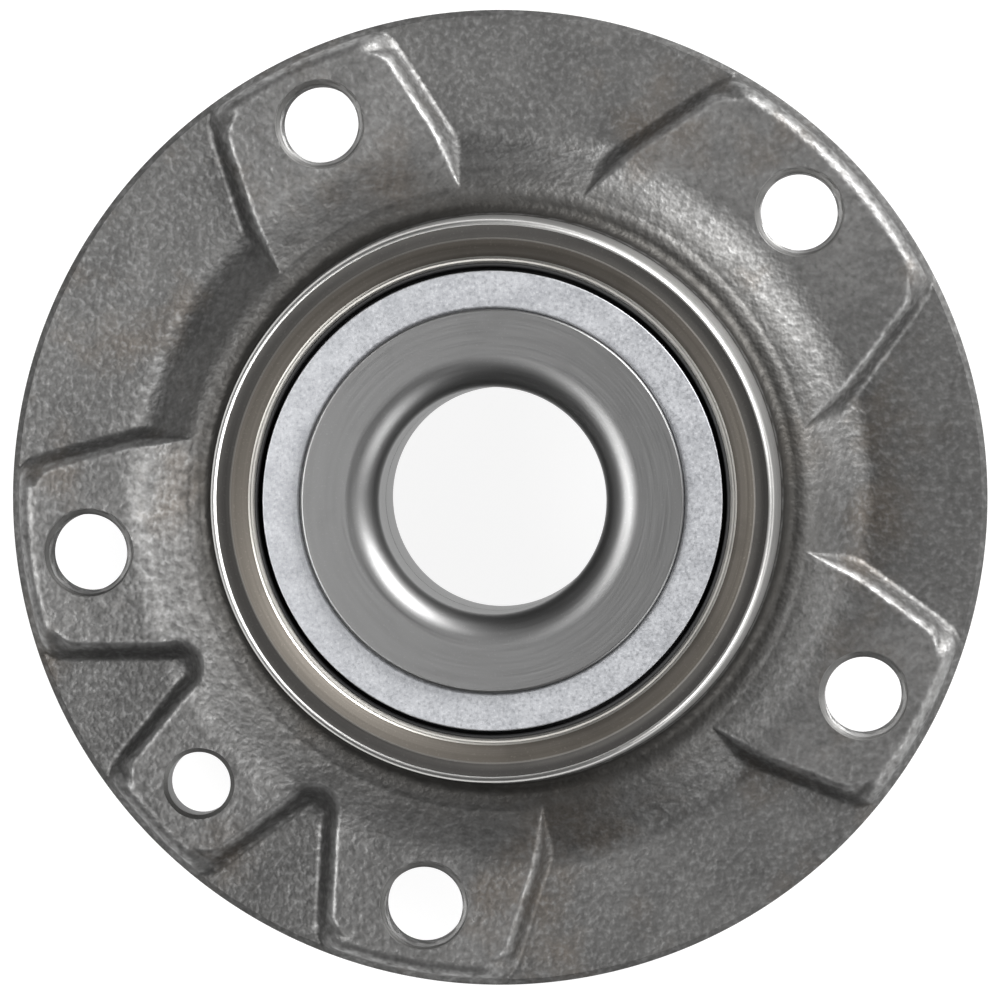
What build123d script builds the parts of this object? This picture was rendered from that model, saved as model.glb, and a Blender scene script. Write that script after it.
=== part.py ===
from build123d import *
import math
import os

os.makedirs("parts", exist_ok=True)

# Driving dimensions in millimetres and degrees.
# Z is the bearing axis. Its positive end is the inboard one, on the side of the car's stub axle.
# The brake disc and the wheel bolt against the flange's outboard face, which lies at Z 0.

# Wheel flange
flange_d = 132.0
bolt_rim_gap = 10.0  # from the bolt circle out to the rim
bolt_pcd = flange_d - 2 * bolt_rim_gap
bolt_count = 5
bolt_core_d = 10.4  # core of an M12 x 1.5 thread
bolt_chamfer_w = 1.15
bolt_chamfer_d = bolt_core_d + 2 * bolt_chamfer_w
first_bolt_angle = 43.6
locator_d = 8.5  # hole for the screw or pin that holds the disc, opposite the first bolt
locator_chamfer_w = 0.6
locator_chamfer_d = locator_d + 2 * locator_chamfer_w
locator_angle = first_bolt_angle + 180.0
web_t = 8.0  # flange thickness between the pads
rim_chamfer = 0.8

# Forged pads round the holes. Each kind's width is where it crosses the bolt circle, at half its rise
pad_rise = 3.0
pad_draft = 28.0  # draft of the side walls
pad_rim_inset = 0.8  # the pads stop this far inside the flange's rim
pad_rim_round = 2.2
pad_foot_round = 1.6  # concave edge where a pad meets the web
pad_edge_round = 1.2  # convex edge along a pad's top
valley_end_round = 1.7  # round inner ends of the valleys between the pads
bolt_pad_w = 27.0
bolt_pad_slant = 7.4  # slant of the sides in plan
wide_pad_w = 40.4
wide_pad_slant = 10.0
locator_pad_w = 19.8
locator_pad_slant = 7.3

# Pilot that centres the disc and the wheel, and the seat of the dust cap inside it
pilot_d = 66.5
pilot_len = 18.0
pilot_lead = 2.0
pilot_relief_w = 2.2
pilot_relief_depth = 0.4
pilot_wall = 2.75
cap_seat_d = pilot_d - 2 * pilot_wall
cap_seat_lead = 0.8

# Bearing
axle_d = 30.0
inner_ring_w = 25.0  # one of the two inner rings
inboard_face_z = 42.0
ball_d = 9.525
ball_count = 13
pitch_d = 49.2
row_spacing = 21.0
contact_angle = 38.0
groove_conformity = 0.52  # groove radius as a share of the ball's diameter
running_gap = 0.09  # clearance between ball and raceway along the contact line
outer_shoulder_rise = 2.6  # the outer ring's shoulder lies this far outside the pitch circle
outer_shoulder_d = pitch_d + 2 * outer_shoulder_rise
inner_shoulder_drop = 2.1  # the inner rings' shoulders lie this far inside it
inner_shoulder_d = pitch_d - 2 * inner_shoulder_drop
inboard_seat_w = 8.4  # length of the ground seat under the inboard flinger
outboard_seat_w = 7.0
bore_round = 4.4  # polished round that leads the inboard ring onto the axle
bore_chamfer = 1.0
ring_edge_round = 0.35

# Places of the ball grooves, which follow from the bearing's sizes
pitch_r = pitch_d / 2
ball_r = ball_d / 2
groove_r = groove_conformity * ball_d
groove_shift = groove_r - ball_r - running_gap
groove_shift_r = groove_shift * math.cos(math.radians(contact_angle))
groove_shift_z = groove_shift * math.sin(math.radians(contact_angle))
outer_land_r = pitch_r - groove_shift_r + groove_r
inner_land_r = pitch_r + groove_shift_r - groove_r

# Clip ring that holds the two inner rings together before they are on the axle
clip_seat_depth = 0.83
clip_seat_d = 2 * (inner_land_r - clip_seat_depth)
clip_w = 6.6
clip_wall = 0.7

# Cages
cage_inside = 1.3  # a cage reaches this far inside the pitch circle
cage_outside = 1.8
cage_id = pitch_d - 2 * cage_inside
cage_od = pitch_d + 2 * cage_outside
cage_w = 11.0
pocket_gap = 0.12
cage_chamfer = 0.4
notch_d = 3.2  # relief between two prongs on the cage's open side

# Seals, the same thicknesses on both sides
case_wall = 0.6
flinger_wall = 0.6
flinger_bend = 0.5
rubber_t = 0.5
lip_gap = 0.08  # clearance of the modelled lips, which press lightly on the real seal
lip_reach = 1.7  # from the flinger's sleeve out to the case's inner edge
case_setback = 0.15  # the pressed case sits this far below the edge of its bore
face_setback = 0.6  # the inboard flinger's face lies this far below the collar's end
inboard_flinger_d = 60.7
inboard_flinger_gap = 0.55  # between the flinger's edge and the rubber round it
inboard_flinger_face = 5.05  # width of the flinger's flat face, from its seat to its edge
inboard_seat_d = inboard_flinger_d - 2 * inboard_flinger_face
inboard_bore_d = inboard_flinger_d + 2 * (inboard_flinger_gap + rubber_t + case_wall)
inboard_seal_w = 6.0
outboard_bore_step = 0.7  # the outboard seal's bore lies this far inside the dust cap's seat
outboard_bore_d = cap_seat_d - 2 * outboard_bore_step
outboard_flinger_gap = 0.4
outboard_flinger_d = outboard_bore_d - 2 * (outboard_flinger_gap + rubber_t + case_wall)
outboard_flinger_face = 5.5
outboard_seat_d = outboard_flinger_d - 2 * outboard_flinger_face
outboard_seal_w = 5.2
outboard_seal_end = 0.8  # the outboard seal's face lies this far inside the inner ring's face

# Collar, the inboard part of the rotating outer ring
collar_wall = 5.6
collar_d = inboard_bore_d + 2 * collar_wall
collar_draft = 1.2  # forging draft on the collar's outside
collar_setback = 0.8  # the collar ends this far short of the inner ring's face
collar_end_z = inboard_face_z - collar_setback
collar_end_round = 1.3
collar_root_round = 2.2  # concave round at the collar's foot
shoulder_w = 11.4
shoulder_d = collar_d + 2 * shoulder_w  # foot of the shoulder that climbs to the collar
shoulder_climb = 20.0  # slope from the pads' level to the shoulder's crest, steeper in the valleys
shoulder_foot_round = 5.0
shoulder_crest_round = 2.5
crest_w = 2.0  # flat crest between that round and the round at the collar's foot
crest_drop = 0.3  # the pads run into the shoulder this far below its crest
end_bevel_w = 2.6
end_bevel_d = inboard_bore_d + 2 * end_bevel_w
end_bevel_depth = 1.2

# Radii and heights that follow from the sizes above
flange_r = flange_d / 2
pad_rim_r = flange_r - pad_rim_inset
bolt_r = bolt_pcd / 2
pilot_r = pilot_d / 2
cap_seat_r = cap_seat_d / 2
collar_r = collar_d / 2
shoulder_r = shoulder_d / 2
crest_r = collar_r + collar_root_round + crest_w
inboard_bore_r = inboard_bore_d / 2
outboard_bore_r = outboard_bore_d / 2
wall_r = (cap_seat_r + collar_r) / 2  # inside the outer ring's wall, where the pads' blank ends
pad_top_z = web_t + pad_rise
climb_top_z = pad_top_z + (shoulder_r - crest_r) * math.tan(math.radians(shoulder_climb))
cut_top_z = climb_top_z + pad_rise  # above all that the valleys and the holes are cut out of
middle_z = inboard_face_z - inner_ring_w
outboard_face_z = middle_z - inner_ring_w
inboard_row_z = middle_z + row_spacing / 2
outboard_row_z = middle_z - row_spacing / 2
bevel_z = collar_end_z - end_bevel_depth
inboard_seal_top = collar_end_z - face_setback
inboard_case_top = bevel_z - case_setback
inboard_seal_foot = inboard_seal_top - inboard_seal_w
outboard_seal_top = outboard_face_z + outboard_seal_end
outboard_seal_foot = outboard_seal_top + outboard_seal_w


def ring_of(*edges):
    """Solid turned about the bearing axis from a closed section, drawn as radius and height."""
    outline = Curve() + list(edges)
    return revolve(Plane.XZ * make_face(outline), Axis.Z)


def turned(*points):
    """Solid turned about the bearing axis from a closed polygon of radius and height."""
    return revolve(Plane.XZ * make_face(Polyline(*points, close=True)), Axis.Z)


def arc_about(centre, radius, start_angle, end_angle):
    """Arc in the section plane, with angles counted from the outward radial direction."""
    places = []
    for angle in (start_angle, (start_angle + end_angle) / 2, end_angle):
        turn = math.radians(angle)
        places.append((centre[0] + radius * math.cos(turn), centre[1] + radius * math.sin(turn)))
    return ThreePointArc(*places)


def edges_at(solid, radius, height):
    """Edges of the solid that are circles about the bearing axis with this radius and height."""
    found = []
    for edge in solid.edges().filter_by(GeomType.CIRCLE):
        same_size = abs(edge.radius - radius) < 0.01
        if same_size and abs(edge.arc_center.Z - height) < 0.01:
            found.append(edge)
    return found


def at_angle(angle, radius, height):
    """Place at an angle round the bearing axis, with its own X axis pointing outwards."""
    return Rot(0, 0, angle) * Pos(radius, 0, height)


def outer_groove(row_z, side):
    """Centre of a row's outer groove and the angle at which the groove meets its high shoulder."""
    centre = (pitch_r - groove_shift_r, row_z + side * groove_shift_z)
    meet = math.degrees(math.acos((outer_shoulder_d / 2 - centre[0]) / groove_r))
    return centre, meet


def inner_groove(row_z, side):
    """Centre of a row's inner groove and the angle at which the groove meets its high shoulder."""
    centre = (pitch_r + groove_shift_r, row_z - side * groove_shift_z)
    meet = math.degrees(math.acos((centre[0] - inner_shoulder_d / 2) / groove_r))
    return centre, meet


def outer_ring_body():
    """Collar, web, pilot and both outer raceways, turned as one forging."""
    upper, upper_meet = outer_groove(inboard_row_z, 1)
    lower, lower_meet = outer_groove(outboard_row_z, -1)
    upper_arc = arc_about(upper, groove_r, 0, -upper_meet)
    lower_arc = arc_about(lower, groove_r, lower_meet, 0)
    root_r = collar_r + (collar_end_z - climb_top_z) * math.tan(math.radians(collar_draft))
    rest = Polyline(
        lower_arc @ 1,
        (outer_land_r, outboard_seal_foot),
        (outboard_bore_r, outboard_seal_foot),
        (outboard_bore_r, outboard_face_z),
        (cap_seat_r, outboard_face_z),
        (cap_seat_r, cap_seat_lead - pilot_len),
        (cap_seat_r + cap_seat_lead, -pilot_len),
        (pilot_r - pilot_lead, -pilot_len),
        (pilot_r, pilot_lead - pilot_len),
        (pilot_r, -pilot_relief_w),
        (pilot_r - pilot_relief_depth, -pilot_relief_w),
        (pilot_r - pilot_relief_depth, 0),
        (flange_r - rim_chamfer, 0),
        (flange_r, rim_chamfer),
        (flange_r, web_t - rim_chamfer),
        (flange_r - rim_chamfer, web_t),
        (shoulder_r, web_t),
        (crest_r, climb_top_z),
        (root_r, climb_top_z),
        (collar_r, collar_end_z),
        (end_bevel_d / 2, collar_end_z),
        (inboard_bore_r, bevel_z),
        (inboard_bore_r, inboard_seal_foot),
        (outer_land_r, inboard_seal_foot),
        upper_arc @ 0,
    )
    between = Line(upper_arc @ 1, lower_arc @ 0)
    body = ring_of(upper_arc, between, lower_arc, rest)
    body = fillet(edges_at(body, shoulder_r, web_t), shoulder_foot_round)
    body = fillet(edges_at(body, crest_r, climb_top_z), shoulder_crest_round)
    body = fillet(edges_at(body, root_r, climb_top_z), collar_root_round)
    return fillet(edges_at(body, collar_r, collar_end_z), collar_end_round)


def pad_layer():
    """Turned blank whose top is the pads' level, with the climb to the shoulder inside it."""
    meet_z = climb_top_z - crest_drop
    blank = turned(
        (wall_r, web_t / 2),
        (pad_rim_r, web_t / 2),
        (pad_rim_r, pad_top_z),
        (shoulder_r, pad_top_z),
        (crest_r, meet_z),
        (wall_r, meet_z),
    )
    return fillet(edges_at(blank, pad_rim_r, pad_top_z), pad_rim_round)


def pad_plan(angle, width, slant, height):
    """Plan of one pad at a height, narrowed by its draft, and as wide as asked at half its rise."""
    half_w = width / 2 + (web_t + pad_rise / 2 - height) * math.tan(math.radians(pad_draft))
    flare = math.tan(math.radians(slant))
    far_r = flange_d
    near_w = half_w + bolt_r * flare
    far_w = half_w - (far_r - bolt_r) * flare
    outline = Polyline((0, -near_w), (far_r, -far_w), (far_r, far_w), (0, near_w), close=True)
    return Rot(0, 0, angle) * make_face(outline)


def valley_plans(height):
    """Plans at a height of the valleys that the pads leave between them, in order round the axis."""
    between = Circle(flange_r + bolt_core_d)
    between -= pad_plan(first_bolt_angle, wide_pad_w, wide_pad_slant, height)
    between -= pad_plan(locator_angle, locator_pad_w, locator_pad_slant, height)
    for turn in range(1, bolt_count):
        angle = first_bolt_angle + 360 * turn / bolt_count
        between -= pad_plan(angle, bolt_pad_w, bolt_pad_slant, height)
    end_round = valley_end_round + (height - web_t) * math.tan(math.radians(pad_draft))
    plans = []
    for face in between.faces():
        inner_end = face.vertices().sort_by_distance((0, 0, 0))[0]
        plans.append(Pos(0, 0, height) * face.fillet_2d(end_round, [inner_end]))
    return sorted(plans, key=lambda face: math.atan2(face.center().Y, face.center().X))


def make_pads():
    """The pads' level with the valleys forged out of it, with round feet, ends and edges."""
    level = pad_layer()
    for low, high in zip(valley_plans(web_t), valley_plans(cut_top_z)):
        valley = loft([low, high], ruled=True)
        feet = [edge for edge in valley.edges().group_by(Axis.Z)[0] if edge.center().Z < pad_top_z]
        feet = [edge for edge in feet if edge.geom_type != GeomType.CIRCLE or edge.radius < flange_r]
        level -= fillet(feet, pad_foot_round)
    edges = []
    for face in level.faces().filter_by(GeomType.PLANE) + level.faces().filter_by(GeomType.CONE):
        if face.center().Z > pad_top_z - pad_rise / 10:
            edges += [edge for edge in face.edges() if edge.geom_type != GeomType.CIRCLE]
    return fillet(edges, pad_edge_round)


def drilled(solid, angle, core_d, chamfer_d):
    """The solid with one through hole on the bolt circle, chamfered at both of its ends."""
    core_r = core_d / 2
    chamfer_w = chamfer_d / 2 - core_r
    place = at_angle(angle, bolt_r, 0)
    solid -= place * Cylinder(core_r, cut_top_z, align=(Align.CENTER, Align.CENTER, Align.MIN))
    top = Pos(0, 0, pad_top_z - chamfer_w / 2) * Cone(core_r, core_r + chamfer_w, chamfer_w)
    bottom = Pos(0, 0, chamfer_w / 2) * Cone(core_r + chamfer_w, core_r, chamfer_w)
    solid -= place * top
    return solid - place * bottom


def make_hub_flange():
    """Rotating outer ring forged in one piece with the wheel flange and its pads."""
    hub = outer_ring_body() + make_pads()
    for turn in range(bolt_count):
        hub = drilled(hub, first_bolt_angle + 360 * turn / bolt_count, bolt_core_d, bolt_chamfer_d)
    return drilled(hub, locator_angle, locator_d, locator_chamfer_d)


def make_inner_ring(row_z, side, end_z, seat_d, seat_w):
    """One inner ring: raceway, high shoulder on its outer side and the seat of its flinger."""
    centre, meet = inner_groove(row_z, side)
    arc = arc_about(centre, groove_r, 180, 180 - side * meet)
    seat_r = seat_d / 2
    clip_seat_r = clip_seat_d / 2
    clip_end_z = middle_z + side * clip_w / 2
    seat_z = end_z - side * seat_w
    rest = Polyline(
        arc @ 1,
        (inner_shoulder_d / 2, seat_z),
        (seat_r, seat_z),
        (seat_r, end_z),
        (axle_d / 2, end_z),
        (axle_d / 2, middle_z),
        (clip_seat_r, middle_z),
        (clip_seat_r, clip_end_z),
        (inner_land_r, clip_end_z),
        arc @ 0,
    )
    ring = ring_of(arc, rest)
    return fillet(edges_at(ring, seat_r, end_z), ring_edge_round)


def make_inner_ring_inboard():
    """Inner ring towards the stub axle's shoulder, with a polished round into its bore."""
    ring = make_inner_ring(inboard_row_z, 1, inboard_face_z, inboard_seat_d, inboard_seat_w)
    return fillet(edges_at(ring, axle_d / 2, inboard_face_z), bore_round)


def make_inner_ring_outboard():
    """Inner ring on the nut's side."""
    ring = make_inner_ring(outboard_row_z, -1, outboard_face_z, outboard_seat_d, outboard_seat_w)
    return chamfer(edges_at(ring, axle_d / 2, outboard_face_z), bore_chamfer)


def make_clip_ring():
    """Thin sleeve pressed into the two inner rings' grooves."""
    inner_r = clip_seat_d / 2
    sleeve = Cylinder(inner_r + clip_wall, clip_w) - Cylinder(inner_r, clip_w)
    return Pos(0, 0, middle_z) * sleeve


def make_cage(row_z, side):
    """Moulded snap cage: a ring with a round pocket for each ball and reliefs between the prongs."""
    outer_r = cage_od / 2
    inner_r = cage_id / 2
    blank = Cylinder(outer_r, cage_w) - Cylinder(inner_r, cage_w)
    blank = chamfer(blank.edges().filter_by(GeomType.CIRCLE), cage_chamfer)
    pocket = Rot(0, 90, 0) * Sphere(ball_r + pocket_gap)  # its poles stand clear of the ring's walls
    notch = Pos(0, 0, -side * cage_w / 2) * Rot(0, 90, 0) * Cylinder(notch_d / 2, 2 * (outer_r - inner_r))
    for turn in range(ball_count):
        angle = 360 * turn / ball_count
        blank -= at_angle(angle, pitch_r, 0) * pocket
        blank -= at_angle(angle + 180 / ball_count, pitch_r, 0) * notch
    return Pos(0, 0, row_z) * blank


def make_ball(turn, row_z):
    """One steel ball of a row."""
    return at_angle(360 * turn / ball_count, pitch_r, row_z) * Sphere(ball_r)


def make_seal_case(bore_d, seat_d, top_z, foot_z):
    """Pressed steel case: a cylinder in the outer ring's bore, bent round its foot to a flange."""
    side = 1 if top_z > foot_z else -1
    bore_r = bore_d / 2
    inner_r = seat_d / 2 + flinger_wall + lip_reach
    flange_z = foot_z + side * case_wall
    solid = turned(
        (bore_r, top_z),
        (bore_r, foot_z),
        (inner_r, foot_z),
        (inner_r, flange_z),
        (bore_r - case_wall, flange_z),
        (bore_r - case_wall, top_z),
    )
    return fillet(edges_at(solid, bore_r, foot_z), case_wall)


def make_flinger(face_d, seat_d, top_z, foot_z):
    """Zinc-plated ring pressed on the inner ring: a sleeve with a flat face turned outwards."""
    side = 1 if top_z > foot_z else -1
    seat_r = seat_d / 2
    sleeve_r = seat_r + flinger_wall
    back_z = top_z - side * flinger_wall
    solid = turned(
        (seat_r, foot_z),
        (seat_r, top_z),
        (face_d / 2, top_z),
        (face_d / 2, back_z),
        (sleeve_r, back_z),
        (sleeve_r, foot_z),
    )
    return fillet(edges_at(solid, seat_r, top_z), flinger_bend)


def make_seal_lip(bore_d, seat_d, case_top, flinger_top, foot_z):
    """Rubber bonded inside the case, with one lip at the flinger's sleeve and one at its face."""
    side = 1 if case_top > foot_z else -1
    wall = bore_d / 2 - case_wall
    skin_r = wall - rubber_t
    sleeve_r = seat_d / 2 + flinger_wall
    root_r = sleeve_r + lip_reach
    back_z = foot_z + side * case_wall
    skin_z = back_z + side * rubber_t
    lip_r = sleeve_r + lip_gap
    face_lip_z = flinger_top - side * (flinger_wall + lip_gap)
    face_lip_r = root_r + rubber_t
    return turned(
        (wall, case_top),
        (wall, back_z),
        (root_r, back_z),
        (root_r, foot_z),
        (root_r - rubber_t, foot_z),
        (lip_r, skin_z),
        (lip_r + rubber_t, skin_z + side * rubber_t),
        (root_r, skin_z),
        (face_lip_r, skin_z),
        (face_lip_r + rubber_t, face_lip_z),
        (face_lip_r + 2 * rubber_t, face_lip_z),
        (face_lip_r + rubber_t, skin_z),
        (skin_r, skin_z),
        (skin_r, case_top),
    )


def save(shape, node):
    """Write one sub-part to its own file."""
    export_step(shape, f"parts/{node}.step")


save(make_hub_flange(), "hub_flange")
save(make_inner_ring_inboard(), "inner_ring_inboard")
save(make_inner_ring_outboard(), "inner_ring_outboard")
save(make_clip_ring(), "inner_ring_clip")
save(make_cage(inboard_row_z, 1), "cage_inboard")
save(make_cage(outboard_row_z, -1), "cage_outboard")
for number in range(ball_count):
    save(make_ball(number, inboard_row_z), f"ball_inboard_{number + 1:02d}")
    save(make_ball(number, outboard_row_z), f"ball_outboard_{number + 1:02d}")

inboard_fit = (inboard_bore_d, inboard_seat_d)
outboard_fit = (outboard_bore_d, outboard_seat_d)
save(make_seal_case(*inboard_fit, inboard_case_top, inboard_seal_foot), "seal_case_inboard")
save(make_seal_case(*outboard_fit, outboard_face_z, outboard_seal_foot), "seal_case_outboard")
inboard_lip = make_seal_lip(*inboard_fit, inboard_case_top, inboard_seal_top, inboard_seal_foot)
save(inboard_lip, "seal_lip_inboard")
outboard_lip = make_seal_lip(*outboard_fit, outboard_face_z, outboard_seal_top, outboard_seal_foot)
save(outboard_lip, "seal_lip_outboard")
inboard_face = (inboard_flinger_d, inboard_seat_d)
outboard_face = (outboard_flinger_d, outboard_seat_d)
save(make_flinger(*inboard_face, inboard_seal_top, inboard_seal_foot), "flinger_inboard")
save(make_flinger(*outboard_face, outboard_seal_top, outboard_seal_foot), "flinger_outboard")
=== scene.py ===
import math

import bpy
import numpy as np
from mathutils import Matrix, Vector


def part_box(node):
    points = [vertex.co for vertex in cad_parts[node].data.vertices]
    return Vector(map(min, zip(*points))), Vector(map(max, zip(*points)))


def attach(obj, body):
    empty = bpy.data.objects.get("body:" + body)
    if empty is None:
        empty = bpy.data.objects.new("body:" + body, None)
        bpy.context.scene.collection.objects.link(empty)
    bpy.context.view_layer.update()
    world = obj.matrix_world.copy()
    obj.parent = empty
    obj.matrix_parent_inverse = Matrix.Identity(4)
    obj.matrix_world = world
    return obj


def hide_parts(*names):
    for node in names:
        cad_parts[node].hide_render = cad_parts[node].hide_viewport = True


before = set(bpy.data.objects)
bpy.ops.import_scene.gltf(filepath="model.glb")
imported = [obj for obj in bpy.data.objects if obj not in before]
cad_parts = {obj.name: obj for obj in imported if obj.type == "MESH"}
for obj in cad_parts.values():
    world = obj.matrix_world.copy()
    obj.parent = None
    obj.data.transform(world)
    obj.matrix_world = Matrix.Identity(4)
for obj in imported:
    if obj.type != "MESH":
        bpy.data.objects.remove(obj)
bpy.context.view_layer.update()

MM = 0.001


def corners(node):
    """Lowest and highest corners of a CAD node, in millimetres."""
    low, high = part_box(node)
    return low / MM, high / MM


# Lengths are in millimetres. Angles and slants are in degrees; turns, rises and drafts are in radians.
# Z is the bearing axis and points inboard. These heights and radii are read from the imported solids.
hub_low, hub_high = corners("hub_flange")
ring_low, ring_high = corners("inner_ring_inboard")
rear_ring_low, rear_ring_high = corners("inner_ring_outboard")
clip_low, clip_high = corners("inner_ring_clip")
_, flinger_high = corners("flinger_inboard")
rear_flinger_low, rear_flinger_high = corners("flinger_outboard")
case_low, case_high = corners("seal_case_inboard")
rear_case_low, rear_case_high = corners("seal_case_outboard")
ball_low, ball_high = corners("ball_inboard_01")
rear_ball_low, _ = corners("ball_outboard_01")

COLLAR_TOP = hub_high.z
PILOT_END = hub_low.z
SEAT_R = ring_high.x
REAR_SEAT_R = rear_ring_high.x
RING_TOP = ring_high.z
RING_MIDDLE = ring_low.z
RING_BOTTOM = rear_ring_low.z
SEAL_BORE_R = case_high.x
REAR_BORE_R = rear_case_high.x
BALL_R = (ball_high.z - ball_low.z) / 2
ROW_Z = ball_low.z + BALL_R
REAR_ROW_Z = rear_ball_low.z + BALL_R

# Flange and its forged pads. A pad is given as its width on the bolt circle and the slant of its sides
FLANGE_R = 66.0
WEB_T = 8.0
PAD_RISE = 3.0
PAD_TOP = WEB_T + PAD_RISE
PAD_DRAFT = math.radians(30)
PAD_RIM_R = 65.2
PAD_RIM_ROUND = 2.2
BOLT_PAD = (27.0, 7.4)
WIDE_PAD = (40.4, 10.0)
LOCATOR_PAD = (19.8, 7.3)
VALLEY_END_ROUND = 2.5
RIM_CHAMFER = 0.8

# Blends of the pads' corners, edges and feet. An edge or a foot takes at most its share of the wall's
# height, and the least values keep the blends above zero. At the rim, feet and waves fade out
CORNER_BLEND = 5.0
EDGE_BLEND = 1.0
EDGE_SHARE = 0.45
FOOT_BLEND = 1.2
FOOT_SHARE = 0.55
LEAST_RISE = 0.05
LEAST_EDGE = 0.02
LEAST_FOOT = 0.05
RIM_FADE = 1.5

# Waves of the forged skin, each with its length and its height
WAVES = ((23.0, 0.035), (11.0, 0.022), (6.1, 0.012), (3.4, 0.006))

# Holes
BOLT_CIRCLE_R = 56.0
BOLT_COUNT = 5
BOLT_CORE_R = 5.2
BOLT_MAJOR_R = 5.98
BOLT_CHAMFER_R = 6.05
THREAD_PITCH = 1.5
FIRST_BOLT = 43.6
BOLT_ANGLES = [FIRST_BOLT + 360 * number / BOLT_COUNT for number in range(BOLT_COUNT)]
LOCATOR = FIRST_BOLT + 180
LOCATOR_R = 4.25
LOCATOR_CHAMFER_R = 4.85

# Thread profile: where its flanks would meet, in thread depths, and their slope, in depths to one pitch.
# The thread's root stands a little in from the hole's wall, and the sleeve's back lies behind that wall
FLANK_PEAK = 1.6
FLANK_SLOPE = 4.4
THREAD_INSET = 0.04
SLEEVE_DEPTH = 0.15

# Collar, and the shoulder round it with its blends at the foot and at the crest
COLLAR_R = 37.2
COLLAR_DRAFT = math.radians(2.2)
COLLAR_ROUND = 0.8
COLLAR_ROUND_HOLD = 0.35  # keeps the end face flat beside the round
ROOT_ROUND = 2.2
ROOT_REACH = 0.995  # share of the root's round, which would end upright at 1
SHOULDER_R = 49.0
CREST_R = 41.8
CREST_Z = PAD_TOP + (SHOULDER_R - CREST_R) * math.tan(math.radians(20))
CREST_DROP = 0.2
WEB_CLIMB = (1.6, 1.3)
PAD_CLIMB = (0.7, 0.9)

# Bevel at the collar's end, with a narrow ring at both its edges that is painted light as a highlight
END_BEVEL_R = 34.6
END_BEVEL_DEPTH = 1.2
MOUTH_DEPTH = 0.1
MOUTH_W = 0.26
BEVEL_EDGE = 0.12

# Pilot and the seat of the dust cap
PILOT_R = 33.25
PILOT_LEAD = 2.0
RELIEF_W = 2.2
RELIEF_DEPTH = 0.4
CAP_SEAT_R = 30.5
CAP_LEAD = 0.8

# Raceways, inner rings and the clip between them
GROOVE_R = 4.953
OUTER_GROOVE_R = 24.52
INNER_GROOVE_R = 24.68
GROOVE_SHIFT = 0.062
OUTER_SHOULDER_R = 27.2
INNER_SHOULDER_R = 22.5
BORE_R = 15.0
BORE_ROUND = 4.4
BORE_CHAMFER = 1.0
BORE_BREAK = 0.3
SMALL_BREAK = 0.2
RING_EDGE = 0.35
SEAT_W = 8.4
REAR_SEAT_W = 7.0
CLIP_WALL = 0.7

# Sheet thicknesses of the seals, and the rubber's reach and clearance
SHEET = 0.6
RUBBER = 0.5
LIP_REACH = 1.7
LIP_GAP = 0.08

# Steps round the turned meshes
FORGING_STEPS = 1440
RING_STEPS = 360
PIECE_STEPS = 288
HOLE_STEPS = 96
THREAD_STEPS = 72

# Lines longer than the second length get points this close to their ends, which hold them flat
HOLD = 0.03
LONG_LINE = 20 * HOLD


def arc(centre, radius, start, end, steps):
    """Points of radius and height along an arc, with angles from the outward direction."""
    points = []
    for step in range(steps + 1):
        turn = math.radians(start + (end - start) * step / steps)
        points.append((centre[0] + radius * math.cos(turn), centre[1] + radius * math.sin(turn)))
    return points


def on_bolt_circle(angle):
    """Centre of the hole at this angle."""
    turn = math.radians(angle)
    return BOLT_CIRCLE_R * math.cos(turn), BOLT_CIRCLE_R * math.sin(turn)


def link_object(name, data):
    thing = bpy.data.objects.new(name, data)
    bpy.context.scene.collection.objects.link(thing)
    return thing


def link_piece(name, mesh, body, replaced):
    """Object for a mesh in the part's frame, riding a body and standing for CAD nodes."""
    piece = link_object(name, mesh)
    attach(piece, body)
    if replaced:
        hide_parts(*replaced)


def mesh_from(name, vertices, faces):
    """Mesh from vertices in millimetres."""
    mesh = bpy.data.meshes.new(name)
    mesh.from_pydata([tuple(float(value) * MM for value in point) for point in vertices], [], faces)
    return mesh


def shade(mesh, sharp_angle=35):
    mesh.shade_smooth()
    mesh.set_sharp_from_angle(angle=math.radians(sharp_angle))


def turned_mesh(name, outline, steps, centre=(0.0, 0.0)):
    """Mesh turned from a closed outline of radius and height, anticlockwise in the half section."""
    count = len(outline)
    vertices = []
    for step in range(steps):
        turn = 2 * math.pi * step / steps
        across, up = math.cos(turn), math.sin(turn)
        vertices += [(centre[0] + r * across, centre[1] + r * up, z) for r, z in outline]
    faces = []
    for step in range(steps):
        here = step * count
        there = (step + 1) % steps * count
        for index in range(count):
            after = (index + 1) % count
            faces.append((here + index, there + index, there + after, here + after))
    return mesh_from(name, vertices, faces)


def held(outline):
    """The outline with a point close to each end of its long lines, so that flats shade flat."""
    points = []
    for index, (r, z) in enumerate(outline):
        after_r, after_z = outline[(index + 1) % len(outline)]
        length = math.hypot(after_r - r, after_z - z)
        points.append((r, z))
        if length > LONG_LINE:
            for share in (HOLD / length, 1 - HOLD / length):
                points.append((r + (after_r - r) * share, z + (after_z - z) * share))
    return points


def lathe(name, outline, body, replaced, material, steps=PIECE_STEPS, sharp_angle=35):
    """Turned piece with one material, standing for one CAD node."""
    mesh = turned_mesh(name, held(outline), steps)
    shade(mesh, sharp_angle)
    mesh.materials.append(material)
    link_piece(name, mesh, body, [replaced])


def mirrored(outline, side):
    """The outline itself for side 1, or upside down for side -1, anticlockwise either way."""
    if side == 1:
        return outline
    return [(r, -z) for r, z in reversed(outline)]


def lifted(outline, height):
    return [(r, z + height) for r, z in outline]


# Fields of the forged face


def smooth_max(first, second, blend):
    """Larger of two fields, with a round of about this size where they meet."""
    share = np.clip(0.5 + 0.5 * (first - second) / blend, 0, 1)
    return second + (first - second) * share + blend * share * (1 - share)


def smooth_min(first, second, blend):
    return -smooth_max(-first, -second, blend)


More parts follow.
